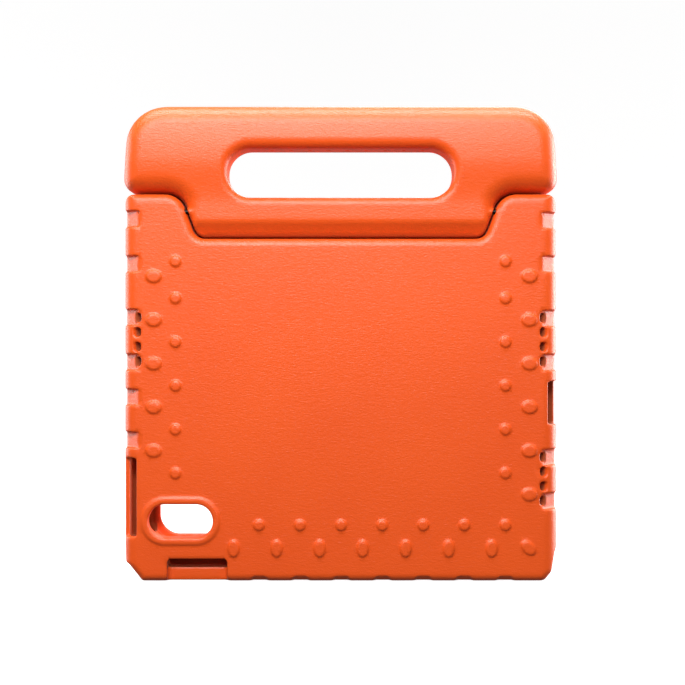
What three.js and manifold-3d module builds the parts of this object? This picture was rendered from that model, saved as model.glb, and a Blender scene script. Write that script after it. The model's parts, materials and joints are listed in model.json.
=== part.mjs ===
// Children's foam case for a 10.9-inch tablet, with a carry handle that swings back as a stand.
// Millimetres. X runs along the case, Y from its back to its screen side, Z up.
// The origin is the middle of the base, so the case stands on z = 0 with its back at -Y.

import * as THREE from 'three';
import { mergeVertices } from 'three/addons/utils/BufferGeometryUtils.js';
import Module from 'manifold-3d';

const wasm = await Module();
wasm.setup();

// ---------------------------------------------------------------- driving dimensions

// Case shell
const CASE_HALF_TOP = 141;        // half width at the shoulders
const CASE_HALF_BASE = 141.7;     // half width near the base
const CASE_HALF_DEPTH = 12;       // the back face is at y = -12, the screen side at y = 12
const SHOULDER_TOP = 252.6;
const RECESS_FLOOR = 223.6;       // floor of the recess that the handle's tongue sits in
const BACK_EDGE = 9.5;            // rounding from the back onto the sides
const BASE_EDGE = 4.5;            // and from the back onto the base
const FRONT_EDGE = 6;
const LIP_EDGE = 5;               // rounding of the shoulders, the recess and the tongue
const CORNER_CUT = 12;            // sloped bottom corner on the left
const CORNER_ROUNDING = 6;        // of the other outer corners

// Flank between shoulder and tongue: a leaning line with a fillet at each end
const FLANK_TOP = 105.4;          // half width of the recess where the flank meets the shoulder top
const FLANK_BOTTOM = 94.2;        // and where it meets the recess floor
const FLANK_TOP_RADIUS = 14;
const FLANK_BOTTOM_RADIUS = 8;
const CLEARANCE = 1;              // all round the tongue and under the wings

// Tablet pocket, screen window and the openings in the walls
const POCKET = { width: 249.6, height: 180.5, radius: 18, back: -3, front: 4.4, middle: 113.8 };
const WINDOW = { width: 236.6, height: 167.5, radius: 12, flare: 4 };
const CAMERA = { x: -104.3, z: 39.3, width: 42.6, height: 22.4, rim: 4.6, proud: 1.2, sunk: 3 };
const POWER_SLOT = { bottom: 29, top: 80.4, edge: -133.5, lip: -11.4 };
const PORT_SLOT = { bottom: 102.4, top: 130.3, edge: 135, lip: -10.6 };
const SLOT_FRONT = 3.6;           // how far towards the screen the wall openings reach
const OUTSIDE = 20;               // how far cutting shapes start outside the case
const VOLUME_CUT = { left: -112.9, right: -73.9, top: 13.6, lip: -6, lipTop: 8.8 };
const SPEAKER = { x: 133.7, width: 2.7, height: 6.4, depth: 16, pitch: 9.5, holes: 4, lean: 49 };
const SPEAKER_GROUPS = [          // side, height of the group's middle
  [-1, 157.7], [1, 157.6], [1, 66.8],
];

// Grip notches round the edge and raised dots on the back
const NOTCH = { width: 10.5, reach: 10, depth: 0.9, corner: 3 };
const LEFT_NOTCHES = [236.4, 207, 172.1, 142.9, 120.1, 92.1];
const RIGHT_NOTCHES = [235.3, 206.8, 171.4, 142.7, 80.8, 52.2];
const BASE_NOTCHES = { first: -52.8, pitch: 26.7, count: 7, reach: 3.5, front: -2.5 };
const DOT_RISE = 1;
const DOME = { sunk: 1, crown: 0.55, sides: 10 };   // crown: width of the top over the foot's
const DOT = { radius: 3.8, x: 107.4, top: 208.5, next: 184.5, pitch: 28.5, count: 5 };
const OVAL = { long: 5.4, short: 4.5, top: 198.7, pitch: 28.4 };
const OVAL_COLUMNS = [{ x: -121.6, count: 5 }, { x: 123, count: 6 }];
const BASE_DOT = { z: 36.7, first: -53.1, pitch: 26.75, count: 7 };
const BASE_OVAL = { long: 5.9, short: 4, z: 21.5, first: -69.6, pitch: 28, count: 7 };
const CORNER_OVAL = { x: 122.3, z: 22, turn: -45 };

// Handle
const GRIP_TOP = 311;
const GRIP_HALF_DEPTH = 15;
const WING_FOOT = SHOULDER_TOP + CLEARANCE;
const WING_HALF_FOOT = 142.9;     // half width at the foot of the wings
const WING_HALF_TOP = 139.2;      // where the leaning sides would meet the top
const WING_ROUNDING = 12;
const WING_CORNER = 9;
const GRIP_CORNER = 26.5;
const SWELL = { low: 252, high: 268, bend: 20, top: 13 };   // where the handle grows thicker
const FINGER_OPENING = { half: 74, bottom: 250.5, top: 283, radius: 15.5 };

// Hinge: a steel rod through the tongue that turns in both shoulders
const HINGE_Y = -8.5;
const HINGE_Z = 241;
const ROD_RADIUS = 1.5;
const ROD_HALF = 130.6;
const FIT = 0.3;                  // gap between one hinge piece and the next
const SLEEVE_HALF = 93;
const BUSH = { from: 107, to: 123.5 };
const RING = { from: 124, to: 127 };
const CAP = { from: 127.5, to: 131.5, floor: 130.9 };
const BORE_END = 131.8;
const TUBE_OUTER = 2.3;           // outer radius of sleeve, bushes, rings and caps
const ROUND_SIDES = 16;
const OVERLAP = 1;                // how far solids to be joined or cut run into each other

// ---------------------------------------------------------------- solids and directions

const X = new THREE.Vector3(1, 0, 0);
const Y = new THREE.Vector3(0, 1, 0);
const Z = new THREE.Vector3(0, 0, 1);

function solid(geometry) {
  const bare = geometry.clone();
  bare.deleteAttribute('normal');
  bare.deleteAttribute('uv');
  const merged = mergeVertices(bare, 1e-4);
  return new wasm.Manifold(new wasm.Mesh({
    numProp: 3,
    vertProperties: new Float32Array(merged.attributes.position.array),
    triVerts: new Uint32Array(merged.index.array),
  }));
}

function geometryOf(manifold) {
  const mesh = manifold.getMesh();
  const geometry = new THREE.BufferGeometry();
  geometry.setAttribute('position', new THREE.BufferAttribute(mesh.vertProperties, 3));
  geometry.setIndex(new THREE.BufferAttribute(mesh.triVerts, 1));
  return geometry;
}

const join = (parts) => parts.reduce((sum, part) => sum.add(part));
const common = (parts) => parts.reduce((sum, part) => sum.intersect(part));
const cut = (body, tools) => tools.reduce((rest, tool) => rest.subtract(tool), body);

// A closed shape through corners [a, b, radius], each one rounded with its own radius.
// Where two roundings meet, as at the end of a stadium, they share one point.
function roundedShape(corners, stepsPerQuarter = 5) {
  const points = [];
  corners.forEach(([a, b, radius = 0], i) => {
    const here = new THREE.Vector2(a, b);
    const before = new THREE.Vector2(...corners.at(i - 1)).sub(here).normalize();
    const after = new THREE.Vector2(...corners[(i + 1) % corners.length]).sub(here).normalize();
    if (radius === 0) {
      points.push(here);
      return;
    }
    const half = Math.acos(before.dot(after)) / 2;
    const centre = before.clone().add(after).setLength(radius / Math.sin(half)).add(here);
    const start = here.clone().addScaledVector(before, radius / Math.tan(half)).sub(centre);
    const turn = (Math.PI - 2 * half) * (before.cross(after) > 0 ? -1 : 1);
    const steps = Math.ceil(stepsPerQuarter * Math.abs(turn) / (Math.PI / 2));
    for (let step = 0; step <= steps; step += 1) {
      points.push(start.clone().rotateAround(new THREE.Vector2(), turn * step / steps).add(centre));
    }
  });
  return new THREE.Shape(points.filter((point, i) => point.distanceTo(points.at(i - 1)) > 1e-3));
}

function rectangle(left, bottom, right, top, radius = 0, stepsPerQuarter = 5) {
  return roundedShape([
    [left, bottom, radius], [right, bottom, radius], [right, top, radius], [left, top, radius],
  ], stepsPerQuarter);
}

const mirrored = (corners) => corners.map(([a, b, radius]) => [-a, b, radius]).reverse();

function extruded(shape, length, { bevel = 0, slope = bevel, bevelSegments = 3 } = {}) {
  return new THREE.ExtrudeGeometry(shape, {
    depth: length - 2 * bevel,
    bevelEnabled: bevel > 0,
    bevelThickness: bevel,
    bevelSize: slope,
    bevelOffset: -slope,
    bevelSegments,
  }).translate(0, 0, bevel);
}

// A plate whose shape lies in X and Z, from y = back to y = front.
function plate(shape, back, front, options) {
  const geometry = extruded(shape, front - back, options);
  const basis = new THREE.Matrix4().makeBasis(X, Z, Y.clone().negate());
  return solid(geometry.applyMatrix4(basis).translate(0, front, 0));
}

// A bar along X whose section lies in Y and Z.
function barAlongX(section, from, to, options) {
  const geometry = extruded(section, to - from, options);
  return solid(geometry.applyMatrix4(new THREE.Matrix4().makeBasis(Y, Z, X)).translate(from, 0, 0));
}

// A post along Z whose section lies in X and Y.
function postAlongZ(section, from, to, options) {
  return solid(extruded(section, to - from, options).translate(0, 0, from));
}

// A round solid on the hinge axis, with profile points [x, radius].
function turned(profile) {
  const points = profile.map(([along, radius]) => new THREE.Vector2(radius, along));
  points.push(points[0]);
  return new THREE.LatheGeometry(points, ROUND_SIDES).rotateZ(-Math.PI / 2);
}

const rod = (from, to, radius) =>
  turned([[from, radius], [to, radius], [to, 0], [from, 0]]);

const tube = (from, to, inner, outer) =>
  turned([[from, inner], [from, outer], [to, outer], [to, inner]]);

// ---------------------------------------------------------------- case shell

const FLANK_LEAN = (FLANK_TOP - FLANK_BOTTOM) / (SHOULDER_TOP - RECESS_FLOOR);

// The case's outline, drawn in by an inset that also serves the notches' floors.
function caseOutline(inset) {
  const right = [
    [CASE_HALF_BASE - inset, inset, CORNER_ROUNDING],
    [CASE_HALF_TOP - inset, SHOULDER_TOP - inset, CORNER_ROUNDING],
    [FLANK_TOP + inset, SHOULDER_TOP - inset, FLANK_TOP_RADIUS],
    [FLANK_BOTTOM + inset, RECESS_FLOOR - inset, FLANK_BOTTOM_RADIUS],
  ];
  const left = mirrored(right.slice(1));
  const corner = [
    [-CASE_HALF_BASE + inset, CORNER_CUT + inset],
    [-CASE_HALF_BASE + CORNER_CUT + inset, inset],
  ];
  return roundedShape([...right, ...left, ...corner]);
}

function caseBlock(inset = 0) {
  const half = CASE_HALF_DEPTH - inset;
  const outline = plate(caseOutline(inset), -half, half, { bevel: LIP_EDGE - inset });
  const side = CASE_HALF_BASE - inset;
  const sides = postAlongZ(roundedShape([
    [-side, -half, BACK_EDGE], [side, -half, BACK_EDGE],
    [side, half, FRONT_EDGE], [-side, half, FRONT_EDGE],
  ]), -OVERLAP, SHOULDER_TOP + OVERLAP);
  const base = barAlongX(roundedShape([
    [-half, inset, BASE_EDGE], [half, inset, FRONT_EDGE],
    [half, SHOULDER_TOP + OVERLAP], [-half, SHOULDER_TOP + OVERLAP],
  ]), -side - OVERLAP, side + OVERLAP);
  return common([outline, sides, base]);
}

function pocketAndWindow() {
  const middle = POCKET.middle;
  const pocket = plate(
    rectangle(
      -POCKET.width / 2, middle - POCKET.height / 2,
      POCKET.width / 2, middle + POCKET.height / 2, POCKET.radius,
    ),
    POCKET.back, POCKET.front,
  );
  const flare = WINDOW.flare;
  const depth = CASE_HALF_DEPTH - POCKET.front;
  // Both ends of this plate narrow, so its middle plane lies on the screen side of the case.
  const window = plate(
    rectangle(
      -WINDOW.width / 2 - flare, middle - WINDOW.height / 2 - flare,
      WINDOW.width / 2 + flare, middle + WINDOW.height / 2 + flare, WINDOW.radius + flare,
    ),
    POCKET.front, CASE_HALF_DEPTH + depth, { bevel: depth, slope: flare, bevelSegments: 1 },
  );
  const throat = plate(
    rectangle(
      -WINDOW.width / 2, middle - WINDOW.height / 2,
      WINDOW.width / 2, middle + WINDOW.height / 2, WINDOW.radius,
    ),
    POCKET.front - OVERLAP, POCKET.front + OVERLAP,
  );
  return [pocket, window, throat];
}

function cameraStadium(margin) {
  const halfWidth = CAMERA.width / 2 + margin;
  const halfHeight = CAMERA.height / 2 + margin;
  return rectangle(
    CAMERA.x - halfWidth, CAMERA.z - halfHeight,
    CAMERA.x + halfWidth, CAMERA.z + halfHeight, halfHeight,
  );
}

// A wall opening on a side: it flares from the pocket's edge out to the rounded back edge.
function sideSlot({ bottom, top, edge, lip }) {
  const side = Math.sign(edge);
  const inner = side * (POCKET.width / 2 - 2 * OVERLAP);
  const outer = side * (CASE_HALF_BASE + OUTSIDE);
  const corners = [
    [outer, lip], [edge, lip], [inner, POCKET.back + OVERLAP],
    [inner, SLOT_FRONT], [outer, SLOT_FRONT],
  ];
  return postAlongZ(roundedShape(side > 0 ? corners.reverse() : corners), bottom, top);
}

// Opening in the base under the volume buttons, with a lip left in front of its lower part.
function volumeCut() {
  const { left, right, top, lip, lipTop } = VOLUME_CUT;
  const pocketFloor = POCKET.middle - POCKET.height / 2;
  return barAlongX(roundedShape([
    [-OUTSIDE, -OUTSIDE], [lip, -OUTSIDE], [lip, lipTop], [SLOT_FRONT, lipTop],
    [SLOT_FRONT, pocketFloor + 2 * OVERLAP], [POCKET.back + OVERLAP, pocketFloor + 2 * OVERLAP],
    [-CASE_HALF_DEPTH, top], [-OUTSIDE, top],
  ]), left, right);
}

// Oblong holes that run at a slant from the rounded back edge to the pocket's side.
function speakerHoles() {
  const lean = THREE.MathUtils.degToRad(SPEAKER.lean);
  return SPEAKER_GROUPS.flatMap(([side, middle]) => {
    const along = new THREE.Vector3(-side * Math.cos(lean), Math.sin(lean), 0);
    const across = new THREE.Vector3().crossVectors(Z, along);
    return Array.from({ length: SPEAKER.holes }, (_, i) => {
      const height = middle + (i - (SPEAKER.holes - 1) / 2) * SPEAKER.pitch;
      const hole = extruded(rectangle(
        -SPEAKER.width / 2, -SPEAKER.height / 2,
        SPEAKER.width / 2, SPEAKER.height / 2, SPEAKER.width / 2, 2,
      ), 2 * SPEAKER.depth);
      hole.translate(0, 0, -SPEAKER.depth);
      hole.applyMatrix4(new THREE.Matrix4().makeBasis(across, Z, along));
      return solid(hole.translate(side * SPEAKER.x, -CASE_HALF_DEPTH, height));
    });
  });
}

// Shallow grooves over the back edge, all cut down to the same depth below the surface.
function notches() {
  const half = NOTCH.width / 2;
  const sideNotch = (side, z) => {
    const inner = side * (CASE_HALF_BASE - NOTCH.reach);
    const outer = side * (CASE_HALF_BASE + OUTSIDE);
    const [left, right] = [inner, outer].sort((a, b) => a - b);
    return plate(rectangle(left, z - half, right, z + half, half, 3), -OUTSIDE, 0);
  };
  const { reach, front } = BASE_NOTCHES;
  const baseNotch = (x) => plate(
    rectangle(x - half, -OUTSIDE, x + half, reach, NOTCH.corner, 3), -OUTSIDE, front,
  );
  const tools = join([
    ...LEFT_NOTCHES.map((z) => sideNotch(-1, z)),
    ...RIGHT_NOTCHES.map((z) => sideNotch(1, z)),
    ...Array.from({ length: BASE_NOTCHES.count }, (_, i) =>
      baseNotch(BASE_NOTCHES.first + i * BASE_NOTCHES.pitch)),
  ]);
  return tools.subtract(caseBlock(NOTCH.depth));
}

// A low dome on the back, wider along `turn` degrees from the X axis.
function dome(x, z, long, short, turn = 0) {
  const { sunk, crown, sides } = DOME;
  return solid(new THREE.CylinderGeometry(crown, 1, DOT_RISE + sunk, sides)
    .rotateX(Math.PI / 2)
    .scale(long, 1, short)
    .rotateY(THREE.MathUtils.degToRad(-turn))
    .translate(x, -CASE_HALF_DEPTH + (sunk - DOT_RISE) / 2, z));
}

function raisedDots() {
  const row = (count, first, pitch, make) =>
    Array.from({ length: count }, (_, i) => make(first + i * pitch));
  const dot = (x) => (z) => dome(x, z, DOT.radius, DOT.radius);
  const oval = (x) => (z) => dome(x, z, OVAL.long, OVAL.short);
  const { long, short } = BASE_OVAL;
  return [
    ...[-DOT.x, DOT.x].flatMap((x) => [
      dot(x)(DOT.top), ...row(DOT.count, DOT.next, -DOT.pitch, dot(x)),
    ]),
    ...OVAL_COLUMNS.flatMap(({ x, count }) => row(count, OVAL.top, -OVAL.pitch, oval(x))),
    ...row(BASE_DOT.count, BASE_DOT.first, BASE_DOT.pitch, (x) => dot(x)(BASE_DOT.z)),
    ...row(BASE_OVAL.count, BASE_OVAL.first, BASE_OVAL.pitch, (x) =>
      dome(x, BASE_OVAL.z, long, short, 90)),
    dome(CORNER_OVAL.x, CORNER_OVAL.z, long, short, CORNER_OVAL.turn),
  ];
}

// Blind bores in the shoulders, narrow where the rod enters and wide around the bushes.
function shoulderBores() {
  const bores = (from, to, radius) => [[from, to], [-to, -from]].map(([a, b]) =>
    solid(rod(a, b, radius).translate(0, HINGE_Y, HINGE_Z)));
  return [
    ...bores(FLANK_BOTTOM, BUSH.from, ROD_RADIUS + FIT),
    ...bores(BUSH.from - FIT, BORE_END, TUBE_OUTER + FIT),
  ];
}

function caseShell() {
  const rim = plate(
    cameraStadium(CAMERA.rim), -CASE_HALF_DEPTH - CAMERA.proud, -CASE_HALF_DEPTH + CAMERA.sunk,
    { bevel: CAMERA.proud, bevelSegments: 2 },
  );
  const body = join([cut(caseBlock(), [notches()]), rim, ...raisedDots()]);
  const cameraHole = plate(cameraStadium(0), -OUTSIDE, POCKET.back + OVERLAP);
  return geometryOf(cut(body, [
    ...pocketAndWindow(), cameraHole, sideSlot(POWER_SLOT), sideSlot(PORT_SLOT), volumeCut(),
    ...speakerHoles(), ...shoulderBores(),
  ]));
}

// ---------------------------------------------------------------- handle

// The tongue follows the recess with the clearance taken off along each side's own normal.
function handleOutline() {
  const shift = FLANK_LEAN * CLEARANCE - CLEARANCE * Math.hypot(1, FLANK_LEAN);
  const right = [
    [FLANK_BOTTOM + shift, RECESS_FLOOR + CLEARANCE, FLANK_BOTTOM_RADIUS - CLEARANCE],
    [FLANK_TOP + shift, WING_FOOT, FLANK_TOP_RADIUS + CLEARANCE],
    [WING_HALF_FOOT, WING_FOOT, WING_CORNER],
    [WING_HALF_TOP, GRIP_TOP, GRIP_CORNER],
  ];
  const shape = roundedShape([...right, ...mirrored(right)]);
  const { half, bottom, top, radius } = FINGER_OPENING;
  shape.holes.push(rectangle(-half, bottom, half, top, radius));
  return shape;
}

function handleFoam() {
  const grip = GRIP_HALF_DEPTH;
  const flat = CASE_HALF_DEPTH;
  const { low, high, bend, top } = SWELL;
  const reach = WING_HALF_FOOT + OUTSIDE;
  const under = RECESS_FLOOR - OUTSIDE;
  const over = GRIP_TOP + OUTSIDE;
  const block = plate(handleOutline(), -grip, grip, { bevel: LIP_EDGE });
  // Thicker towards the grip, flush with the case along the tongue.
  const section = barAlongX(roundedShape([
    [-flat, under], [flat, under], [flat, low], [grip, high, bend], [grip, GRIP_TOP, top],
    [-grip, GRIP_TOP, top], [-grip, high, bend], [-flat, low],
  ]), -reach, reach);
  const sides = postAlongZ(rectangle(
    -WING_HALF_FOOT, -grip, WING_HALF_FOOT, grip, WING_ROUNDING,
  ), under, over);
  // Tongue edges: the same rounding as the recess, on the plane of the case's faces.
  const tongue = plate(handleOutline(), -flat, flat, { bevel: LIP_EDGE });
  const grips = barAlongX(rectangle(-OUTSIDE, low, OUTSIDE, over), -reach, reach);
  const shaped = common([block, section, sides, join([tongue, grips])]);
  return cut(shaped, wingRoundings());
}

// Removes the square lower edges of the wings, back and front, outside the tongue.
function wingRoundings() {
  const foot = WING_FOOT;
  const depth = GRIP_HALF_DEPTH;
  const round = WING_ROUNDING;
  const inner = FLANK_TOP + FLANK_TOP_RADIUS;
  const outer = WING_HALF_FOOT + OUTSIDE;
  return [-1, 1].flatMap((face) => {
    const section = new THREE.Shape();
    section.moveTo(face * OUTSIDE, foot + round);
    section.lineTo(face * depth, foot + round);
    section.absarc(
      face * (depth - round), foot + round, round, face > 0 ? 0 : Math.PI, -Math.PI / 2, face > 0);
    section.lineTo(face * (depth - round), foot - OVERLAP);
    section.lineTo(face * OUTSIDE, foot - OVERLAP);
    section.closePath();
    return [[-outer, -inner], [inner, outer]].map(([from, to]) => barAlongX(section, from, to));
  });
}

function handle() {
  const wide = rod(-SLEEVE_HALF - FIT, SLEEVE_HALF + FIT, TUBE_OUTER + FIT);
  const narrow = rod(-FLANK_TOP, FLANK_TOP, ROD_RADIUS + FIT);
  const bores = [wide, narrow].map((bore) => solid(bore.translate(0, HINGE_Y, HINGE_Z)));
  return geometryOf(cut(handleFoam(), bores)).translate(0, -HINGE_Y, -HINGE_Z);
}

// ---------------------------------------------------------------- hinge pieces, on the hinge axis

const hingeRod = () => rod(-ROD_HALF, ROD_HALF, ROD_RADIUS);
const handleSleeve = () => tube(-SLEEVE_HALF, SLEEVE_HALF, ROD_RADIUS + FIT, TUBE_OUTER);
const shoulderBush = () => tube(BUSH.from, BUSH.to, ROD_RADIUS + FIT, TUBE_OUTER);
const frictionRing = () => tube(RING.from, RING.to, ROD_RADIUS + FIT, TUBE_OUTER);

const rodCap = () => turned([
  [CAP.from, ROD_RADIUS + FIT], [CAP.from, TUBE_OUTER], [CAP.to, TUBE_OUTER],
  [CAP.to, 0], [CAP.floor, 0], [CAP.floor, ROD_RADIUS + FIT],
]);

// ---------------------------------------------------------------- materials and assembly

const finish = (color, roughness, metalness = 0) =>
  new THREE.MeshStandardMaterial({ color, roughness, metalness, flatShading: true });

const orangeFoam = finish('#f76832', 0.62);
const blackNylon = finish('#1d1d1f', 0.5);
const steel = finish('#a9abad', 0.32, 1);
const rubber = finish('#242322', 0.85);

function mesh(name, geometry, material) {
  const result = new THREE.Mesh(geometry, material);
  result.name = name;
  return result;
}

// The left-hand pieces are the right-hand ones turned half round the vertical.
function bothSides(parent, name, make, material) {
  const right = mesh(`${name}_right`, make(), material);
  const left = mesh(`${name}_left`, make(), material);
  left.rotation.z = Math.PI;
  parent.add(left, right);
}

const tabletCase = new THREE.Group();
tabletCase.add(mesh('case_shell', caseShell(), orangeFoam));

const shoulderHinges = new THREE.Group();
shoulderHinges.position.set(0, HINGE_Y, HINGE_Z);
bothSides(shoulderHinges, 'shoulder_bush', shoulderBush, blackNylon);
bothSides(shoulderHinges, 'friction_ring', frictionRing, rubber);
tabletCase.add(shoulderHinges);

const swingingHandle = new THREE.Group();
swingingHandle.position.set(0, HINGE_Y, HINGE_Z);
swingingHandle.add(mesh('handle', handle(), orangeFoam));
swingingHandle.add(mesh('handle_sleeve', handleSleeve(), blackNylon));
swingingHandle.add(mesh('hinge_rod', hingeRod(), steel));
bothSides(swingingHandle, 'rod_cap', rodCap, steel);
tabletCase.add(swingingHandle);

export default tabletCase;
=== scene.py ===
"""The looks of a children's foam tablet case with a carry handle that swings back.

The two foam mouldings are shaped as signed distances on a grid, in millimetres, and turned into
meshes; the small hinge pieces are turned profiles. X runs along the case, Y from its back to its
screen side and Z up, as in the frame.
"""

import json
import math
import bmesh
import bpy
import numpy as np
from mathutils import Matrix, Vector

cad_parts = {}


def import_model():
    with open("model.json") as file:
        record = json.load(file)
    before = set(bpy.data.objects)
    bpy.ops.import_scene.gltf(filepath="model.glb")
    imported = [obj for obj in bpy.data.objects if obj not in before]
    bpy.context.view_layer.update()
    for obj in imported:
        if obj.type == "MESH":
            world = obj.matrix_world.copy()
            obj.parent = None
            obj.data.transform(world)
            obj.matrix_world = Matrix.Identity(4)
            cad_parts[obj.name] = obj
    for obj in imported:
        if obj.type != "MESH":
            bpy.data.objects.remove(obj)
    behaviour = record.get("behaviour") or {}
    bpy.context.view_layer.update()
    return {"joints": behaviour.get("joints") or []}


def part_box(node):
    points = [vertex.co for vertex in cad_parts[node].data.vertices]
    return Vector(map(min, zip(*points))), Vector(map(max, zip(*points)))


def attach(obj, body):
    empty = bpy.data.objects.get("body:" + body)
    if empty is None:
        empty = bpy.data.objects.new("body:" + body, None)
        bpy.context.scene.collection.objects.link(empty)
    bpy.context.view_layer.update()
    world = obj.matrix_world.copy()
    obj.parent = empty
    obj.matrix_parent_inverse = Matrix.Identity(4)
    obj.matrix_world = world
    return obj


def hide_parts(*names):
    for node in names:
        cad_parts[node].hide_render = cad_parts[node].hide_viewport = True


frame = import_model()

import openvdb
from mathutils import Vector

MM = 0.001
GRID_STEP = 0.55      # spacing of the foam grids
SOFTENING = 2           # smoothing passes that take the sharpness off every edge
FLATNESS = 0.02                         # how far flat stretches of mesh may be merged


def box_mm(node):
    low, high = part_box(node)
    return np.array(low) / MM, np.array(high) / MM


# ------------------------------------------------------------------ sizes from the frame

SHELL_LOW, SHELL_HIGH = box_mm("case_shell")
HANDLE_LOW, HANDLE_HIGH = box_mm("handle")
HINGE = np.array(frame["joints"][0]["pos_m"]) / MM

CASE_HALF = SHELL_HIGH[0]               # half width near the base
SHOULDER_TOP = SHELL_HIGH[2]
FRONT = SHELL_HIGH[1]                   # the screen side's plane
BACK = -FRONT
GRIP_HALF_DEPTH = HANDLE_HIGH[1]
GRIP_TOP = HANDLE_HIGH[2]

# ------------------------------------------------------------------ driving dimensions, mm

# Case shell
SHOULDER_HALF = 141.0
RECESS_FLOOR = 223.6
SIDE_EDGE = 9.5                         # rounding from the back onto the sides
BASE_EDGE = 4.5                         # and from the back onto the base
FRONT_EDGE = 6.0                        # the same round the screen side
LIP_EDGE = 5.0                          # rounding of shoulders and recess at the back
FRONT_LIP = 3.0                         # and at the screen side, where the gap must close
FLANK_TOP, FLANK_BOTTOM = 105.4, 94.2   # half widths of the recess at its mouth and its floor
FLANK_TOP_RADIUS, FLANK_BOTTOM_RADIUS = 14.0, 8.0
CLEARANCE = 1.0                         # between tongue and recess
# Towards the screen side the recess narrows and the tongue draws in, so nothing shows between.
RECESS_STEP, TONGUE_STEP = 1.35, 0.5
RECESS_STEP_DEPTHS, TONGUE_STEP_DEPTHS = (3.2, 4.8), (2.7, 4.3)
# It fades in over these heights and fades out over these heights and half widths.
RECESS_STEP_FOOT = (RECESS_FLOOR - 12, RECESS_FLOOR - 4)
TONGUE_STEP_TOP = (-264, -256)
STEP_SIDES = (-136, -130)

# The walls beside the gap get painted shade from this far off the middle plane inwards.
CASE_GAP_SHADE_START, HANDLE_GAP_SHADE_START = 10.0, 11.0
GAP_SHADE = 0.7                         # from 0 to 1
GAP_FADE = 4                            # how much further in the shade is full
GAP_WALL = (0.8, 2.2)                   # the rest fade it out: distance behind the wall,
GAP_FOOT, GAP_TOP = (RECESS_FLOOR - 3, RECESS_FLOOR - 1), (-258, -254)      # height
GAP_SIDES = (-138, -130)                # and half width

# In these, `edge` is a rounding and `blend` how softly a shape joins or leaves the rest.
POCKET = dict(half_x=124.8, half_z=90.25, z=113.8, radius=18.0, back=-3.0, front=4.4, edge=0.8)
WINDOW = dict(half_x=118.3, half_z=83.75, radius=12.0, flare=0.53, blend=2.0)
CAMERA = dict(x=-104.3, z=39.3, half_x=21.0, half_z=10.9, blend=0.8,
              rim=4.6, proud=1.1, rim_edge=1.0, rim_blend=1.0)
OVERLAP = 1.0                           # how far an opening runs into the pocket
SLOT_FRONT = 3.6                        # how far the wall openings reach towards the screen
SLOT_MOUTH = 150.0                      # where the side slots end, well outside the case
SLOT_EDGE = 1.0
# Side slots: `wall` and `wall_top` give the foam left outside them. In these and the openings
# below, the last entry is the stretch of depths over which shade is painted onto the walls.
POWER_SLOT = dict(side=-1, start=133.5, lip=-11.4, low=29.0, high=80.4, wall=137.9, wall_top=-6.8,
                  painted_shade=(2.4, 3.6))
PORT_SLOT = dict(side=1, start=135.0, lip=-10.6, low=102.4, high=130.3, wall=145.0, wall_top=3.0,
                 painted_shade=(0.3, 1.6))
VOLUME_CUT = dict(left=-112.9, right=-73.9, top=13.6, lip=-6.0, lip_top=8.8, edge=2.0,
                  blend=0.9, painted_shade=(0.3, 1.6))
SPEAKER = dict(x=133.2, half_u=1.7, half_z=3.1, depth=16.0, pitch=9.5, holes=4,
               lean=math.radians(49), blend=0.6, painted_shade=(1.2, 3.2))
SPEAKER_GROUPS = [(-1, 157.7), (1, 157.6), (1, 66.8)]   # side, height of the group's middle

# Grip notches: `slack` is how deep a notch's floor cuts below the rounded edge at 45 degrees.
NOTCH = dict(half=5.25, corner=3.0, depth=0.45, front=3.0, floor_blend=0.8, blend=0.3)
SIDE_NOTCH = dict(reach=12.0, edge=SIDE_EDGE, slack=3.8)
BASE_NOTCH = dict(reach=3.5, edge=BASE_EDGE, slack=1.0)
OUTSIDE = 20.0                          # how far outside the case a cut from there starts
BACK_RIDGE = FRONT * math.sqrt(0.5)     # how far a square back edge would stand out at 45 degrees
RIDGE_DROP = math.sqrt(2) - 1           # how much of that a rounding takes off, for each mm of it
LEFT_NOTCHES = [236.4, 207.0, 172.1, 142.9, 120.1, 92.1]
RIGHT_NOTCHES = [235.3, 206.8, 171.4, 142.7, 80.8, 52.2]
BASE_NOTCHES = [-52.8 + 26.7 * i for i in range(7)]

DOT_RISE, DOT_EDGE, DOT_BLEND = 1.2, 0.9, 0.3
DOT_RADIUS = 3.6
DOT_X = 107.4
SIDE_DOTS = [208.5] + [184.5 - 28.5 * i for i in range(5)]
BASE_DOTS = [-53.1 + 26.75 * i for i in range(7)]
BASE_DOT_Z = 36.7
OVAL = dict(left=-121.6, right=123.0, half_x=5.1, half_z=4.2)
SIDE_OVALS = [198.7 - 28.4 * i for i in range(6)]
BASE_OVAL = dict(z=21.5, half_x=3.8, half_z=5.6)
BASE_OVALS = [-69.6 + 28.0 * i for i in range(7)]
CORNER_OVAL = dict(x=122.3, z=22.0, turn=math.radians(-45))

# Handle
WING_FOOT = SHOULDER_TOP + CLEARANCE
WING_HALF_FOOT, WING_HALF_TOP = 142.9, 139.2
WING_CORNER, GRIP_CORNER = 9.0, 26.5
OPENING = dict(half_x=74.0, low=250.5, high=282.2, radius=15.5)
CROWN = dict(foot=277, reach=34, depth=3.0)     # how the grip thins again towards its top
# What changes up the handle: value below, value above, and the heights between which it changes.
DEPTH = (FRONT, GRIP_HALF_DEPTH, 246, 276)
BACK_ROUNDING = (5.0, 12.0, 234, 252)
FRONT_ROUNDING = (3.0, 9.0, 254, 272)
OPENING_ROUNDING = (5.0, 6.5, 262, 276)
# The tongue's back slopes in to its foot.
TONGUE_SLOPE = dict(top=235.0, along_y=0.84, along_z=0.543, blend=0.8)
DIMPLES = [4.5 + 12.4 * i for i in range(-4, 5)]
DIMPLE_RADIUS, DIMPLE_BLEND = 1.1, 0.5

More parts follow.
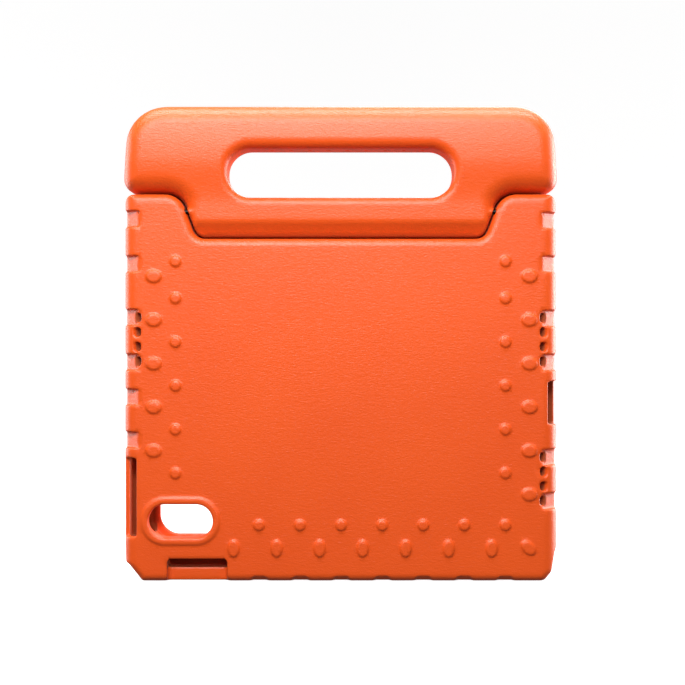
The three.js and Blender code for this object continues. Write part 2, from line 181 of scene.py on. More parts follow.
# Hinge bores in the foam
BORE_NARROW, BORE_WIDE = 1.8, 2.6
BORE_BLEND = 0.3
COLLAR, COLLAR_BLEND = 2.5, 1.0         # radius of foam kept round the rod beside the gap
BORE_END = 131.8
FIT = 0.3                               # gap between one hinge piece and the next
SLEEVE_END = box_mm("handle_sleeve")[1][0] + FIT
BUSH_START = box_mm("shoulder_bush_right")[0][0] - FIT
ROD_FIT = 1.8                           # inner radius of what the rod passes through


# ------------------------------------------------------------------ distances

def soft_min(a, b, k):
    h = np.maximum(k - np.abs(a - b), 0)
    return np.minimum(a, b) - h * h / (4 * k)


def soft_max(a, b, k):
    return -soft_min(-a, -b, k)


def round_max(a, b, radius):
    """What lies inside both a and b, with the edge between them rounded."""
    u, v = a + radius, b + radius
    corner = np.sqrt(np.maximum(u, 0) ** 2 + np.maximum(v, 0) ** 2)
    return np.minimum(np.maximum(u, v), 0) + corner - radius


def ramp(value, start, end):
    t = np.clip((value - start) / (end - start), 0, 1)
    return t * t * (3 - 2 * t)


def mix(a, b, t):
    return a + (b - a) * t


def going_up(z, low, high, start, end):
    """A value that changes from low to high between two heights."""
    return mix(low, high, ramp(z, start, end))


def rectangle(u, v, half_u, half_v, radius):
    a = np.abs(u) - (half_u - radius)
    b = np.abs(v) - (half_v - radius)
    corner = np.sqrt(np.maximum(a, 0) ** 2 + np.maximum(b, 0) ** 2)
    return corner + np.minimum(np.maximum(a, b), 0) - radius


def ellipse(u, v, half_u, half_v):
    near = np.sqrt((u / half_u) ** 2 + (v / half_v) ** 2)
    slope = np.sqrt((u / half_u ** 2) ** 2 + (v / half_v ** 2) ** 2)
    return near * (near - 1) / np.maximum(slope, 1e-6)


def rounded_outline(corners, steps=8):
    """Points of a closed outline whose corners (u, v, radius) are all rounded."""
    points = []
    for i, (u, v, radius) in enumerate(corners):
        here = np.array([u, v], float)
        before = np.array(corners[i - 1][:2]) - here
        after = np.array(corners[(i + 1) % len(corners)][:2]) - here
        before /= np.linalg.norm(before)
        after /= np.linalg.norm(after)
        half = math.acos(before @ after) / 2
        middle = (before + after) / np.linalg.norm(before + after)
        centre = here + middle * radius / math.sin(half)
        start = here + before * radius / math.tan(half) - centre
        side = 1 if before[0] * after[1] - before[1] * after[0] < 0 else -1
        turn = side * (math.pi - 2 * half)
        for step in range(steps + 1):
            a = turn * step / steps
            points.append(centre + [start[0] * math.cos(a) - start[1] * math.sin(a),
                                    start[0] * math.sin(a) + start[1] * math.cos(a)])
    return np.array(points)


def mirrored(corners):
    return [(-u, v, radius) for u, v, radius in reversed(corners)]


def outline_distance(points, u, v):
    """Distance to a closed outline, negative inside it."""
    shape = np.broadcast(u, v).shape
    near = np.full(shape, np.inf, np.float32)
    inside = np.zeros(shape, bool)
    for (au, av), (bu, bv) in zip(points, np.roll(points, -1, axis=0)):
        eu, ev = bu - au, bv - av
        length = eu * eu + ev * ev
        if length < 1e-9:
            continue
        wu, wv = u - au, v - av
        t = np.clip((wu * eu + wv * ev) / length, 0, 1)
        near = np.minimum(near, (wu - t * eu) ** 2 + (wv - t * ev) ** 2)
        if ev != 0:
            inside ^= ((av > v) != (bv > v)) & (u < eu * (v - av) / ev + au)
    return np.where(inside, -1, 1).astype(np.float32) * np.sqrt(near)


def from_hinge(y, z, radius):
    """Distance to a round bar on the hinge axis."""
    return np.sqrt((y - HINGE[1]) ** 2 + (z - HINGE[2]) ** 2) - radius


# ------------------------------------------------------------------ foam grid

class Foam:
    """A block of foam as signed distances on a grid, negative inside the foam.

    Each shape comes with two corners, low and high, of a box that holds what it changes.
    """

    MARGIN = 3.0

    def __init__(self, low, high):
        low = np.array(low) - self.MARGIN
        high = np.array(high) + self.MARGIN
        self.low = low
        counts = np.ceil((high - low) / GRID_STEP).astype(int) + 1
        axes = [(low[i] + GRID_STEP * np.arange(counts[i])).astype(np.float32) for i in range(3)]
        self.axes = axes
        self.x, self.y, self.z = np.ix_(*axes)
        self.values = None
        self.painted_shade_recesses = []

    def near(self, low, high):
        """The stretch of the grid between two corners, and its x, y and z."""
        cut = tuple(
            slice(np.searchsorted(axis, lo), np.searchsorted(axis, hi))
            for axis, lo, hi in zip(self.axes, low, high)
        )
        return cut, self.x[cut[0]], self.y[:, cut[1]], self.z[:, :, cut[2]]

    def add(self, shape, low, high, blend):
        cut, x, y, z = self.near(low, high)
        self.values[cut] = soft_min(self.values[cut], shape(x, y, z), blend)

    def cut(self, shape, low, high, blend):
        cut, x, y, z = self.near(low, high)
        self.values[cut] = soft_max(self.values[cut], -shape(x, y, z), blend)

    def soften(self, passes):
        values = self.values
        for _ in range(passes):
            for axis in range(3):
                v = np.moveaxis(values, axis, 0)
                v[1:-1] = (v[:-2] + 2 * v[1:-1] + v[2:]) / 4

    def sample(self, points):
        """The distance at free points, between the grid's values."""
        place = (points - self.low) / GRID_STEP
        cell = np.clip(np.floor(place).astype(int), 0, np.array(self.values.shape) - 2)
        t = place - cell
        total = np.zeros(len(points))
        for corner in np.ndindex(2, 2, 2):
            weight = np.prod(np.where(np.array(corner) == 1, t, 1 - t), axis=1)
            total += weight * self.values[tuple((cell + corner).T)]
        return total

    def gradient(self, points):
        reach = GRID_STEP * 0.75
        slopes = [self.sample(points + reach * e) - self.sample(points - reach * e)
                  for e in np.eye(3)]
        slopes = np.stack(slopes, axis=1)
        return slopes / np.maximum(np.linalg.norm(slopes, axis=1, keepdims=True), 1e-9)

    def recess_painted_shade(self, shape, low, high, blend, depths):
        """Cuts an opening and paints shade onto its walls, growing darker between two depths."""
        self.cut(shape, low, high, blend)
        self.painted_shade_recesses.append((shape, low, high, depths))

    def painted_shade_in_recesses(self, points):
        """Painted shade for each point: from 0 on the outside to 1 well inside an opening."""
        depth = np.zeros(len(points))
        for shape, low, high, depths in self.painted_shade_recesses:
            near = np.all((points > low) & (points < high), axis=1)
            x, y, z = points[near].T
            on_wall = 1 - ramp(np.abs(shape(x, y, z)), 1.0, 2.0)
            shade = on_wall * ramp(-case_block(x, y, z), *depths)
            depth[near] = np.maximum(depth[near], shade)
        return depth

    def painted_shade_in_gap(self, points, outline, start):
        """Painted shade the same way beside the gap round the tongue, from `start` off the middle
        plane.
        """
        x, y, z = points.T
        on_wall = 1 - ramp(-outline_distance(outline, x, z), *GAP_WALL)
        inside = ramp(-np.abs(y), -start, GAP_FADE - start)
        beside = ramp(z, *GAP_FOOT) * ramp(-z, *GAP_TOP) * ramp(-np.abs(x), *GAP_SIDES)
        return GAP_SHADE * on_wall * inside * beside

    def piece(self, name, outline, gap_shade_start):
        """The foam's surface as a smooth-shaded mesh object, in metres."""
        band = 3 * GRID_STEP
        grid = openvdb.FloatGrid(band)
        grid.copyFromArray(np.clip(self.values, -band, band))
        points, triangles, quads = grid.convertToPolygons(isovalue=0, adaptivity=FLATNESS)
        points = points.astype(float) * GRID_STEP + self.low
        for _ in range(2):
            points -= self.gradient(points) * self.sample(points)[:, None]
        normals = self.gradient(points)
        faces = triangles.tolist() + quads.tolist()
        mesh = bpy.data.meshes.new(name)
        mesh.from_pydata((points * MM).tolist(), [], faces)
        mesh.validate()
        mesh.shade_smooth()
        mesh.normals_split_custom_set_from_vertices(normals.tolist())
        # Painted shade deep in the openings and beside the gap, kept on the mesh for the material.
        layer = mesh.attributes.new("recess_painted_shade", "FLOAT", "POINT")
        in_gap = self.painted_shade_in_gap(points, outline, gap_shade_start)
        layer.data.foreach_set("value", np.maximum(self.painted_shade_in_recesses(points), in_gap))
        return linked(name, mesh)


def linked(name, mesh):
    made = bpy.data.objects.new(name, mesh)
    bpy.context.scene.collection.objects.link(made)
    return made


# ------------------------------------------------------------------ case shell

def case_outline():
    right = [
        (133.0, 0.0, 4.0),
        (138.0, 6.0, 5.0),
        (140.0, 18.5, 1.0),
        (CASE_HALF, 21.5, 1.0),
        (SHOULDER_HALF, SHOULDER_TOP, 6.0),
        (FLANK_TOP, SHOULDER_TOP, FLANK_TOP_RADIUS),
        (FLANK_BOTTOM, RECESS_FLOOR, FLANK_BOTTOM_RADIUS),
    ]
    left = mirrored(right[4:])
    corner = [(-140.9, 24.0, 1.0), (-140.4, 12.2, 1.5), (-138.2, 10.8, 1.0), (-129.5, 0.0, 2.0)]
    return rounded_outline(right + left + corner)


CASE_OUTLINE = case_outline()


def case_block(x, y, z):
    """The outer block: its outline with rounded lips, and rounder sides and base."""
    outline = outline_distance(CASE_OUTLINE, x, z)
    beside = ramp(z, *RECESS_STEP_FOOT) * ramp(-np.abs(x), *STEP_SIDES)
    outline = outline - RECESS_STEP * beside * ramp(y, *RECESS_STEP_DEPTHS)
    back, front = BACK - y, y - FRONT
    body = round_max(outline, back, LIP_EDGE)
    body = np.maximum(body, round_max(outline, front, FRONT_LIP))
    side = np.abs(x) - CASE_HALF
    body = np.maximum(body, round_max(side, back, SIDE_EDGE))
    body = np.maximum(body, round_max(side, front, FRONT_EDGE))
    body = np.maximum(body, round_max(-z, back, BASE_EDGE))
    return np.maximum(body, round_max(-z, front, FRONT_EDGE))


def cut_notches(foam):
    """Grip notches over the back edge, with flatter floors than the rounding that they cross."""
    half = NOTCH["half"]

    def notch(along, across, y, surface, reach, edge, slack):
        """Cuts in as far as `reach` from where `along` is zero, over an edge of radius `edge`."""
        plan = rectangle(along - (OUTSIDE - reach), across, OUTSIDE, half, NOTCH["corner"])
        shape = np.maximum(plan, y - NOTCH["front"])
        ridge = (along - y) * math.sqrt(0.5)
        floor = ridge - (BACK_RIDGE - edge * RIDGE_DROP - slack)
        kept = soft_max(surface + NOTCH["depth"], floor, NOTCH["floor_blend"])
        return np.maximum(surface, soft_min(-shape, kept, NOTCH["blend"]))

    edge = CASE_HALF - SIDE_NOTCH["reach"] - 3
    for side, heights in ((-1, LEFT_NOTCHES), (1, RIGHT_NOTCHES)):
        near, far = sorted((side * edge, side * (CASE_HALF + 3)))
        for middle in heights:
            cut, x, y, z = foam.near((near, -20, middle - half - 3), (far, 8, middle + half + 3))
            along = side * x - CASE_HALF
            foam.values[cut] = notch(along, z - middle, y, foam.values[cut], **SIDE_NOTCH)
    for middle in BASE_NOTCHES:
        cut, x, y, z = foam.near((middle - half - 3, -20, -4), (middle + half + 3, 8, 15))
        foam.values[cut] = notch(-z, x - middle, y, foam.values[cut], **BASE_NOTCH)


def add_dots(foam):
    """Round and oval dots that stand out of the back."""
    def dot(x0, z0, half_u, half_v, turn=0.0):
        c, s = math.cos(turn), math.sin(turn)

        def shape(x, y, z):
            u = c * (x - x0) + s * (z - z0)
            v = -s * (x - x0) + c * (z - z0)
            plan = ellipse(u, v, half_u, half_v)
            return round_max(plan, (BACK - DOT_RISE) - y, DOT_EDGE)

        foam.add(shape, (x0 - 9, BACK - 3, z0 - 9), (x0 + 9, BACK + 2, z0 + 9), DOT_BLEND)

    for z in SIDE_DOTS:
        dot(-DOT_X, z, DOT_RADIUS, DOT_RADIUS)
        dot(DOT_X, z, DOT_RADIUS, DOT_RADIUS)
    for x in BASE_DOTS:
        dot(x, BASE_DOT_Z, DOT_RADIUS, DOT_RADIUS)
    for z in SIDE_OVALS[:-1]:           # the camera's rim takes the place of the lowest
        dot(OVAL["left"], z, OVAL["half_x"], OVAL["half_z"])
    for z in SIDE_OVALS:
        dot(OVAL["right"], z, OVAL["half_x"], OVAL["half_z"])
    base = BASE_OVAL
    for x in BASE_OVALS:
        dot(x, base["z"], base["half_x"], base["half_z"])
    corner = CORNER_OVAL
    dot(corner["x"], corner["z"], base["half_z"], base["half_x"], corner["turn"])


def cut_pocket(foam):
    p, w = POCKET, WINDOW
    x, y, z = foam.x, foam.y, foam.z - p["z"]
    pocket = rectangle(x, z, p["half_x"], p["half_z"], p["radius"])
    middle, half = (p["back"] + p["front"]) / 2, (p["front"] - p["back"]) / 2
    pocket = round_max(pocket, np.abs(y - middle) - half, p["edge"])
    foam.values = soft_max(foam.values, -pocket, p["edge"])
    widen = np.maximum(y - p["front"], 0) * w["flare"]
    window = rectangle(x, z, w["half_x"], w["half_z"], w["radius"]) - widen
    window = np.maximum(window * math.cos(math.atan(w["flare"])), p["back"] + 2 - y)
    foam.values = soft_max(foam.values, -window, w["blend"])


def camera_opening(foam):
    c = CAMERA
    low = (c["x"] - 34, BACK - 3, c["z"] - 24)
    high = (c["x"] + 34, BACK + 12, c["z"] + 24)

    def plan(x, z):
        return rectangle(x - c["x"], z - c["z"], c["half_x"], c["half_z"], c["half_z"])

    def rim(x, y, z):
        band = np.abs(plan(x, z) - c["rim"] / 2) - c["rim"] / 2
        return round_max(band, (BACK - c["proud"]) - y, c["rim_edge"])

    foam.add(rim, low, high, c["rim_blend"])
    through = POCKET["back"] + OVERLAP
    foam.cut(lambda x, y, z: np.maximum(plan(x, z), y - through), low, high, c["blend"])


def side_slot(foam, slot):
    """An opening in a side wall that flares from the pocket out to the rounded back edge."""
    side = slot["side"]
    inner = POCKET["half_x"] - 2 * OVERLAP
    section = np.array([
        (SLOT_MOUTH, slot["lip"]), (slot["start"], slot["lip"]),
        (inner, POCKET["back"] + OVERLAP), (inner, SLOT_FRONT), (slot["wall"], SLOT_FRONT),
        (slot["wall"], slot["wall_top"]), (SLOT_MOUTH, slot["wall_top"]),
    ])
    middle, half = (slot["low"] + slot["high"]) / 2, (slot["high"] - slot["low"]) / 2

    def shape(x, y, z):
        ends = np.abs(z - middle) - half
        return round_max(outline_distance(section, side * x, y), ends, SLOT_EDGE)

    near, far = sorted((side * (inner - 2), side * (CASE_HALF + 3)))
    low, high = (near, -15, slot["low"] - 3), (far, 8, slot["high"] + 3)
    foam.recess_painted_shade(shape, low, high, SLOT_EDGE, slot["painted_shade"])


def volume_cut(foam):
    """Opening in the base, with a lip left in front of its lower part."""
    floor = POCKET["z"] - POCKET["half_z"]
    v = VOLUME_CUT
    section = np.array([
        (-OUTSIDE, -9.0), (v["lip"], -9.0), (v["lip"], v["lip_top"]), (SLOT_FRONT, v["lip_top"]),
        (SLOT_FRONT, floor + 2 * OVERLAP), (POCKET["back"] + OVERLAP, floor + 2 * OVERLAP),
        (BACK, v["top"]), (-OUTSIDE, v["top"]),
    ])
    middle, half = (v["left"] + v["right"]) / 2, (v["right"] - v["left"]) / 2

    def shape(x, y, z):
        return round_max(outline_distance(section, y, z), np.abs(x - middle) - half, v["edge"])

    foam.cut(shape, (v["left"] - 4, -16, -4), (v["right"] + 4, 8, floor + 4), v["blend"])
    # Shade is painted only on the part above the lip.
    painted_shade_low, painted_shade_high = (v["left"] - 2, -11.0, v["lip_top"] - 0.5), (v["right"] + 2, 8, 22)
    foam.painted_shade_recesses.append((shape, painted_shade_low, painted_shade_high, v["painted_shade"]))


def speaker_holes(foam):
    s = SPEAKER
    c, n = math.cos(s["lean"]), math.sin(s["lean"])
    for side, middle in SPEAKER_GROUPS:
        for i in range(s["holes"]):
            height = middle + (i - (s["holes"] - 1) / 2) * s["pitch"]

            def shape(x, y, z, height=height, side=side):
                across = (side * x - s["x"]) * n + (y - BACK) * c
                along = -(side * x - s["x"]) * c + (y - BACK) * n
                plan = rectangle(across, z - height, s["half_u"], s["half_z"], s["half_u"])
                return np.maximum(plan, along - s["depth"])

            near, far = sorted((side * 118, side * (CASE_HALF + 3)))
            low, high = (near, -15, height - 5), (far, 6, height + 5)
            foam.recess_painted_shade(shape, low, high, s["blend"], s["painted_shade"])


def bore(foam, start, end, radius):
    """A round hole along the hinge axis."""
    def shape(x, y, z):
        return np.maximum(from_hinge(y, z, radius), np.maximum(start - x, x - end))

    reach = radius + 2
    foam.cut(shape, (start - 2, HINGE[1] - reach, HINGE[2] - reach),
             (end + 2, HINGE[1] + reach, HINGE[2] + reach), BORE_BLEND)


def collars(foam, outline):
    """Foam kept round the rod where it crosses the rounded edges beside the gap."""
    def shape(x, y, z):
        return np.maximum(from_hinge(y, z, COLLAR), outline_distance(outline, x, z))

    for side in (-1, 1):
        near, far = sorted((side * (FLANK_BOTTOM - 4), side * (FLANK_TOP + 6)))
        foam.add(shape, (near, BACK - 2, HINGE[2] - 6), (far, 0, HINGE[2] + 6), COLLAR_BLEND)


def case_shell():
    foam = Foam(SHELL_LOW, SHELL_HIGH)
    foam.values = case_block(foam.x, foam.y, foam.z).astype(np.float32)
    cut_notches(foam)
    add_dots(foam)
    cut_pocket(foam)
    camera_opening(foam)
    for slot in (POWER_SLOT, PORT_SLOT):
        side_slot(foam, slot)
    volume_cut(foam)
    speaker_holes(foam)
    collars(foam, CASE_OUTLINE)
    foam.soften(SOFTENING)
    for side in (-1, 1):
        narrow = sorted((side * (FLANK_BOTTOM - 4), side * BUSH_START))
        wide = sorted((side * BUSH_START, side * BORE_END))
        bore(foam, *narrow, BORE_NARROW)
        bore(foam, *wide, BORE_WIDE)
    return foam.piece("foam_case", CASE_OUTLINE, CASE_GAP_SHADE_START)


# ------------------------------------------------------------------ handle

def handle_outline():
    lean = (FLANK_TOP - FLANK_BOTTOM) / (SHOULDER_TOP - RECESS_FLOOR)
    shift = lean * CLEARANCE - CLEARANCE * math.hypot(1, lean)
    right = [
        (FLANK_BOTTOM + shift, RECESS_FLOOR + CLEARANCE, FLANK_BOTTOM_RADIUS - CLEARANCE),
        (FLANK_TOP + shift, WING_FOOT, FLANK_TOP_RADIUS + CLEARANCE),
        (WING_HALF_FOOT, WING_FOOT, WING_CORNER),
        (WING_HALF_TOP, GRIP_TOP, GRIP_CORNER),
    ]
    return rounded_outline(right + mirrored(right))


def handle_foam():
    foam = Foam(HANDLE_LOW, HANDLE_HIGH)
    x, y, z = foam.x, foam.y, foam.z
    thinning = CROWN["depth"] * np.maximum((z - CROWN["foot"]) / CROWN["reach"], 0) ** 2
    face = np.abs(y) - (going_up(z, *DEPTH) - thinning)
    around = handle_outline()
    outline = outline_distance(around, x, z)
    beside = ramp(-z, *TONGUE_STEP_TOP) * ramp(-np.abs(x), *STEP_SIDES)
    outline = outline + TONGUE_STEP * beside * ramp(y, *TONGUE_STEP_DEPTHS)
    body = np.where(
        y < 0,
        round_max(outline, face, going_up(z, *BACK_ROUNDING)),
        round_max(outline, face, going_up(z, *FRONT_ROUNDING)),
    )
    o = OPENING
    middle, half = (o["low"] + o["high"]) / 2, (o["high"] - o["low"]) / 2
    opening = rectangle(x, z - middle, o["half_x"], half, o["radius"])
    body = np.maximum(body, round_max(-opening, face, going_up(z, *OPENING_ROUNDING)))
    t = TONGUE_SLOPE
    slope = -(y - BACK) * t["along_y"] - (z - t["top"]) * t["along_z"]
    foam.values = soft_max(body, slope, t["blend"]).astype(np.float32)
    for x0 in DIMPLES:
        def dimple(x, y, z, x0=x0):
            return np.sqrt((x - x0) ** 2 + y ** 2 + (z - o["high"]) ** 2) - DIMPLE_RADIUS
        foam.cut(dimple, (x0 - 3, -3, o["high"] - 3), (x0 + 3, 3, o["high"] + 3), DIMPLE_BLEND)
    collars(foam, around)
    foam.soften(SOFTENING)
    bore(foam, -SLEEVE_END, SLEEVE_END, BORE_WIDE)
    bore(foam, -FLANK_TOP, -SLEEVE_END, BORE_NARROW)
    bore(foam, SLEEVE_END, FLANK_TOP, BORE_NARROW)
    return foam.piece("foam_handle", around, HANDLE_GAP_SHADE_START)


# ------------------------------------------------------------------ hinge pieces

def turned(name, profile, segments=48):
    """A closed profile of (x, radius) points, in mm, turned round the hinge axis."""
    mesh = bpy.data.meshes.new(name)
    build = bmesh.new()
    rings = []
    for i in range(segments):
        a = 2 * math.pi * i / segments
        rings.append([
            build.verts.new((along * MM, (HINGE[1] + radius * math.cos(a)) * MM,
                             (HINGE[2] + radius * math.sin(a)) * MM))
            for along, radius in profile
        ])
    count = len(profile)
    for i in range(segments):
        here, there = rings[i], rings[(i + 1) % segments]
        for k in range(count):
            m = (k + 1) % count
            if profile[k][1] or profile[m][1]:
                build.faces.new((here[k], there[k], there[m], here[m]))
    bmesh.ops.remove_doubles(build, verts=build.verts, dist=1e-7)
    build.to_mesh(mesh)
    build.free()
    mesh.shade_smooth()
    mesh.set_sharp_from_angle(angle=math.radians(35))
    return linked(name, mesh)


def sides_of(node):
    """A hinge piece's lowest and highest x, and its outer radius."""
    low, high = box_mm(node)
    return low[0], high[0], (high[2] - low[2]) / 2


def ribbed_tube(name, node, inner, rib):
    """A moulded tube with shallow grooves round it, `rib` apart."""
    groove, half_top, half_floor, chamfer = 0.18, 0.4, 0.25, 0.2
    start, end, outer = sides_of(node)
    profile = [(start, inner), (start, outer - chamfer), (start + chamfer, outer)]
    count = int((end - start - 2 * rib) // rib)
    first = (start + end) / 2 - count * rib / 2
    for i in range(count + 1):
        at = first + i * rib
        profile += [(at - half_top, outer), (at - half_floor, outer - groove),
                    (at + half_floor, outer - groove), (at + half_top, outer)]
    profile += [(end - chamfer, outer), (end, outer - chamfer), (end, inner)]
    return turned(name, profile)


def rubber_ring(name, node, inner):
    start, end, outer = sides_of(node)
    profile = [(start, inner)]
    bulge, steps = 0.3, 8
    for i in range(steps + 1):
        a = math.pi * (1 - i / steps)
        along = (start + end) / 2 + (end - start) / 2 * math.cos(a)
        profile.append((along, outer - bulge + bulge * math.sin(a)))
    profile.append((end, inner))
    return turned(name, profile)


def steel_rod(name, node):
    start, end, outer = sides_of(node)
    cone = 0.35
    return turned(name, [
        (start, 0), (start, outer - cone), (start + cone, outer),
        (end - cone, outer), (end, outer - cone), (end, 0),
    ])


def rod_cap(name, node, inner, side):
    """A pressed cup over the rod's end, with a rolled edge and a crowned floor."""
    start, end, outer = sides_of(node)
    mouth, crown = (start, end) if side > 0 else (-end, -start)
    profile = [
        (mouth, inner), (mouth, outer - 0.15), (mouth + 0.15, outer), (mouth + 0.7, outer),
        (mouth + 0.85, outer - 0.12), (crown - 0.6, outer - 0.12), (crown - 0.25, outer - 0.3),
        (crown - 0.05, outer - 0.8), (crown, 0), (crown - 0.6, 0), (crown - 0.6, inner),
    ]
    if side < 0:
        profile = [(-along, radius) for along, radius in reversed(profile)]
    return turned(name, profile)


# ------------------------------------------------------------------ materials

class Nodes:
    """Short calls for building a material's nodes."""

    def __init__(self, name):
        self.material = bpy.data.materials.new(name)
        self.material.use_nodes = True
        self.tree = self.material.node_tree
        self.shader = self.tree.nodes["Principled BSDF"]

    def add(self, kind, **settings):
        node = self.tree.nodes.new(kind)
        for key, value in settings.items():
            if key in node.inputs:
                node.inputs[key].default_value = value
            else:
                setattr(node, key, value)
        return node

    def link(self, source, target):
        self.tree.links.new(source, target)

    def compute(self, operation, *values):
        """A math node's result; each value is a number or another node's result."""
        node = self.add("ShaderNodeMath", operation=operation)
        for socket, value in zip(node.inputs, values):
            if isinstance(value, float):
                socket.default_value = value
            else:
                self.link(value, socket)
        return node.outputs["Value"]

    def stretched(self, place, scale):
        mapping = self.add("ShaderNodeMapping", Scale=scale)
        self.link(place, mapping.inputs["Vector"])
        return mapping.outputs["Vector"]

    def pattern(self, kind, place, **settings):
        """The first result of a texture node."""
        node = self.add(kind, **settings)
        self.link(place, node.inputs["Vector"])
        return node.outputs[0]

    def shade(self, pattern, low, high, ends=(0.0, 1.0)):
        """A colour between two others, as a pattern says."""
        node = self.add("ShaderNodeValToRGB")
        for element, colour, end in zip(node.color_ramp.elements, (low, high), ends):
            element.color = (*colour, 1)
            element.position = end
        self.link(pattern, node.inputs["Fac"])
        return node.outputs["Color"]

    def gloss(self, pattern, low, high):
        """A roughness between two others, as a pattern says."""
        node = self.add("ShaderNodeMapRange")
        node.inputs["To Min"].default_value = low
        node.inputs["To Max"].default_value = high
        self.link(pattern, node.inputs["Value"])
        return node.outputs["Result"]

    def bump(self, height, strength, distance):
        node = self.add("ShaderNodeBump", Strength=strength, Distance=distance)
        self.link(height, node.inputs["Height"])
        self.link(node.outputs["Normal"], self.shader.inputs["Normal"])


def foam_material():
    n = Nodes("orange_foam")
    place = n.add("ShaderNodeTexCoord").outputs["Object"]
    # Slow drift of the colour, as dyed foam has.
    drift = n.pattern("ShaderNodeTexNoise", place, Scale=14.0, Detail=3.0, Roughness=0.5)
    tint = n.shade(drift, (0.90, 0.091, 0.002), (0.94, 0.102, 0.003), (0.3, 0.7))
    # Painted shade: deep inside openings, and beside the gap, the foam's colour is darkened to
    # brown.
    recess_painted_shade = n.add("ShaderNodeAttribute", attribute_name="recess_painted_shade").outputs["Fac"]
    paint_shade = n.add("ShaderNodeMix", data_type="RGBA")
    paint_shade.inputs["B"].default_value = (0.34, 0.05, 0.0, 1)
    n.link(recess_painted_shade, paint_shade.inputs["Factor"])
    n.link(tint, paint_shade.inputs["A"])
    n.link(paint_shade.outputs["Result"], n.shader.inputs["Base Color"])
    # Leather-like grain: wrinkles and pebbles stretched along X, with fine pores over them.
    along_x = n.stretched(place, (0.35, 0.8, 1.3))
    wrinkles = n.pattern("ShaderNodeTexNoise", along_x, Scale=800.0, Detail=4.0, Roughness=0.6,
                         Distortion=0.6)
    pores = n.pattern("ShaderNodeTexVoronoi", place, Scale=1500.0)
    pebbles = n.pattern("ShaderNodeTexVoronoi", along_x, feature="DISTANCE_TO_EDGE", Scale=900.0)
    grain = n.compute("MULTIPLY_ADD", pores, 0.25, wrinkles)
    n.bump(n.compute("MULTIPLY_ADD", pebbles, 0.35, grain), 0.55, 0.00035)
    dull = n.compute("MULTIPLY_ADD", recess_painted_shade, 0.4, n.gloss(wrinkles, 0.34, 0.48))
    n.link(dull, n.shader.inputs["Roughness"])
    n.shader.inputs["Specular IOR Level"].default_value = 0.65
    n.shader.inputs["Sheen Weight"].default_value = 0.04
    n.shader.inputs["Sheen Roughness"].default_value = 0.4
    return n.material


def moulded_material(name, colour, roughness, scale, strength):
    """Plain moulded plastic or rubber: fine mould texture and slightly uneven gloss."""
    n = Nodes(name)
    place = n.add("ShaderNodeTexCoord").outputs["Object"]
    noise = n.pattern("ShaderNodeTexNoise", place, Scale=scale, Detail=4.0)
    darker, lighter = (tuple(c * factor for c in colour) for factor in (0.75, 1.3))
    n.link(n.shade(noise, darker, lighter), n.shader.inputs["Base Color"])
    uneven = 0.08
    n.link(n.gloss(noise, roughness - uneven, roughness + uneven), n.shader.inputs["Roughness"])
    n.bump(noise, strength, 0.00003)
    return n.material


def steel_material():
    """Blackened drawn steel: fine lines along X."""
    n = Nodes("blackened_steel")
    place = n.stretched(n.add("ShaderNodeTexCoord").outputs["Object"], (0.02, 1.0, 1.0))
    lines = n.pattern("ShaderNodeTexNoise", place, Scale=9000.0, Detail=3.0)
    shade = n.shade(lines, (0.012, 0.012, 0.013), (0.035, 0.035, 0.036))
    n.link(shade, n.shader.inputs["Base Color"])
    n.link(n.gloss(lines, 0.24, 0.4), n.shader.inputs["Roughness"])
    n.shader.inputs["Metallic"].default_value = 1.0
    return n.material


# ------------------------------------------------------------------ stage, light and camera

def stage():
    """A seamless white bowl: a round floor that bends up into a wall all the way round."""
    reach, bend, height, segments, steps = 2.2, 0.8, 2.6, 64, 12
    profile = [(reach - bend, 0.0)]
    for i in range(1, steps + 1):
        a = math.pi / 2 * i / steps
        profile.append((reach - bend + bend * math.sin(a), bend - bend * math.cos(a)))
    profile.append((reach, height))
    sunk = 0.0001
    vertices = [(0, 0, -sunk)]
    faces = []
    for r, z in profile:
        for k in range(segments):
            a = 2 * math.pi * k / segments
            vertices.append((r * math.cos(a), r * math.sin(a), z - sunk))
    for k in range(segments):
        m = (k + 1) % segments
        faces.append((0, 1 + k, 1 + m))
        for row in range(len(profile) - 1):
            low, high = 1 + row * segments, 1 + (row + 1) * segments
            faces.append((low + k, high + k, high + m, low + m))
    mesh = bpy.data.meshes.new("floor")
    mesh.from_pydata(vertices, [], faces)
    mesh.shade_smooth()
    floor = linked("floor", mesh)
    n = Nodes("white_paper")
    n.shader.inputs["Base Color"].default_value = (0.5, 0.5, 0.5, 1)
    n.shader.inputs["Roughness"].default_value = 0.8
    n.shader.inputs["Specular IOR Level"].default_value = 0.0
    n.shader.inputs["Emission Color"].default_value = (1, 1, 1, 1)
    n.shader.inputs["Emission Strength"].default_value = 0.86
    mesh.materials.append(n.material)
    # The paper shows white without throwing its light back onto the foam.
    floor.visible_diffuse = False
    floor.visible_glossy = False
    floor.visible_shadow = False


def world():
    made = bpy.data.worlds.new("studio")
    bpy.context.scene.world = made
    made.use_nodes = True
    back = made.node_tree.nodes["Background"]
    back.inputs["Color"].default_value = (1.0, 1.0, 1.0, 1)
    back.inputs["Strength"].default_value = 0.14


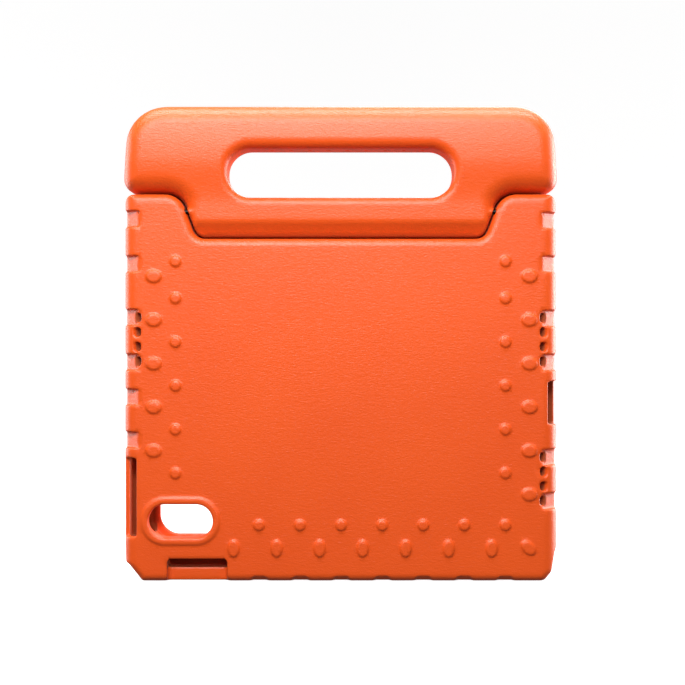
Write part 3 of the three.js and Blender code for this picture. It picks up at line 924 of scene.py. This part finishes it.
def area_light(name, place, target, size, power):
    data = bpy.data.lights.new(name, "AREA")
    data.shape = "RECTANGLE"
    data.size, data.size_y = size
    data.energy = power
    light = bpy.data.objects.new(name, data)
    light.location = place
    light.rotation_euler = (Vector(target) - Vector(place)).to_track_quat("-Z", "Y").to_euler()
    bpy.context.scene.collection.objects.link(light)


def lights():
    middle = (0, 0, 0.2)
    area_light("key", (-0.1, -0.7, 0.72), (0, 0, 0.12), (0.8, 0.3), 11.0)
    area_light("overhead", (0, 0, 0.85), (0, 0, 0.3), (0.9, 0.2), 7.0)
    area_light("left", (-0.75, 0.3, 0.25), middle, (0.5, 0.6), 4.5)
    area_light("right", (0.75, 0.3, 0.25), middle, (0.5, 0.6), 9.0)
    area_light("far_side", (0.3, 0.9, 0.8), middle, (0.8, 0.5), 7.0)


def camera():
    data = bpy.data.cameras.new("camera")
    data.sensor_width = 36
    data.lens = 71.7
    made = bpy.data.objects.new("camera", data)
    made.location = (0.0013, -0.9, 0.1557)
    made.rotation_euler = (math.radians(90), 0, 0)
    bpy.context.scene.collection.objects.link(made)
    bpy.context.scene.camera = made


# ------------------------------------------------------------------ assembly

def dress(piece, material, body, node):
    piece.data.materials.append(material)
    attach(piece, body)
    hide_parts(node)


stage()
world()
lights()
camera()

orange_foam = foam_material()
dress(case_shell(), orange_foam, "case", "case_shell")
dress(handle_foam(), orange_foam, "handle", "handle")

nylon = moulded_material("black_nylon", (0.013, 0.013, 0.014), 0.5, 700.0, 0.3)
rubber = moulded_material("black_rubber", (0.018, 0.017, 0.016), 0.8, 1200.0, 0.5)
steel = steel_material()
dress(ribbed_tube("sleeve", "handle_sleeve", ROD_FIT, 8.0), nylon, "handle",
      "handle_sleeve")
dress(steel_rod("rod", "hinge_rod"), steel, "handle", "hinge_rod")
for name, side in (("left", -1), ("right", 1)):
    bush, ring, cap = f"shoulder_bush_{name}", f"friction_ring_{name}", f"rod_cap_{name}"
    dress(ribbed_tube(f"bush_{name}", bush, ROD_FIT, 3.0), nylon, "case", bush)
    dress(rubber_ring(f"ring_{name}", ring, ROD_FIT), rubber, "case", ring)
    dress(rod_cap(f"cap_{name}", cap, ROD_FIT, side), steel, "handle", cap)

bpy.context.scene.view_settings.view_transform = "Standard"
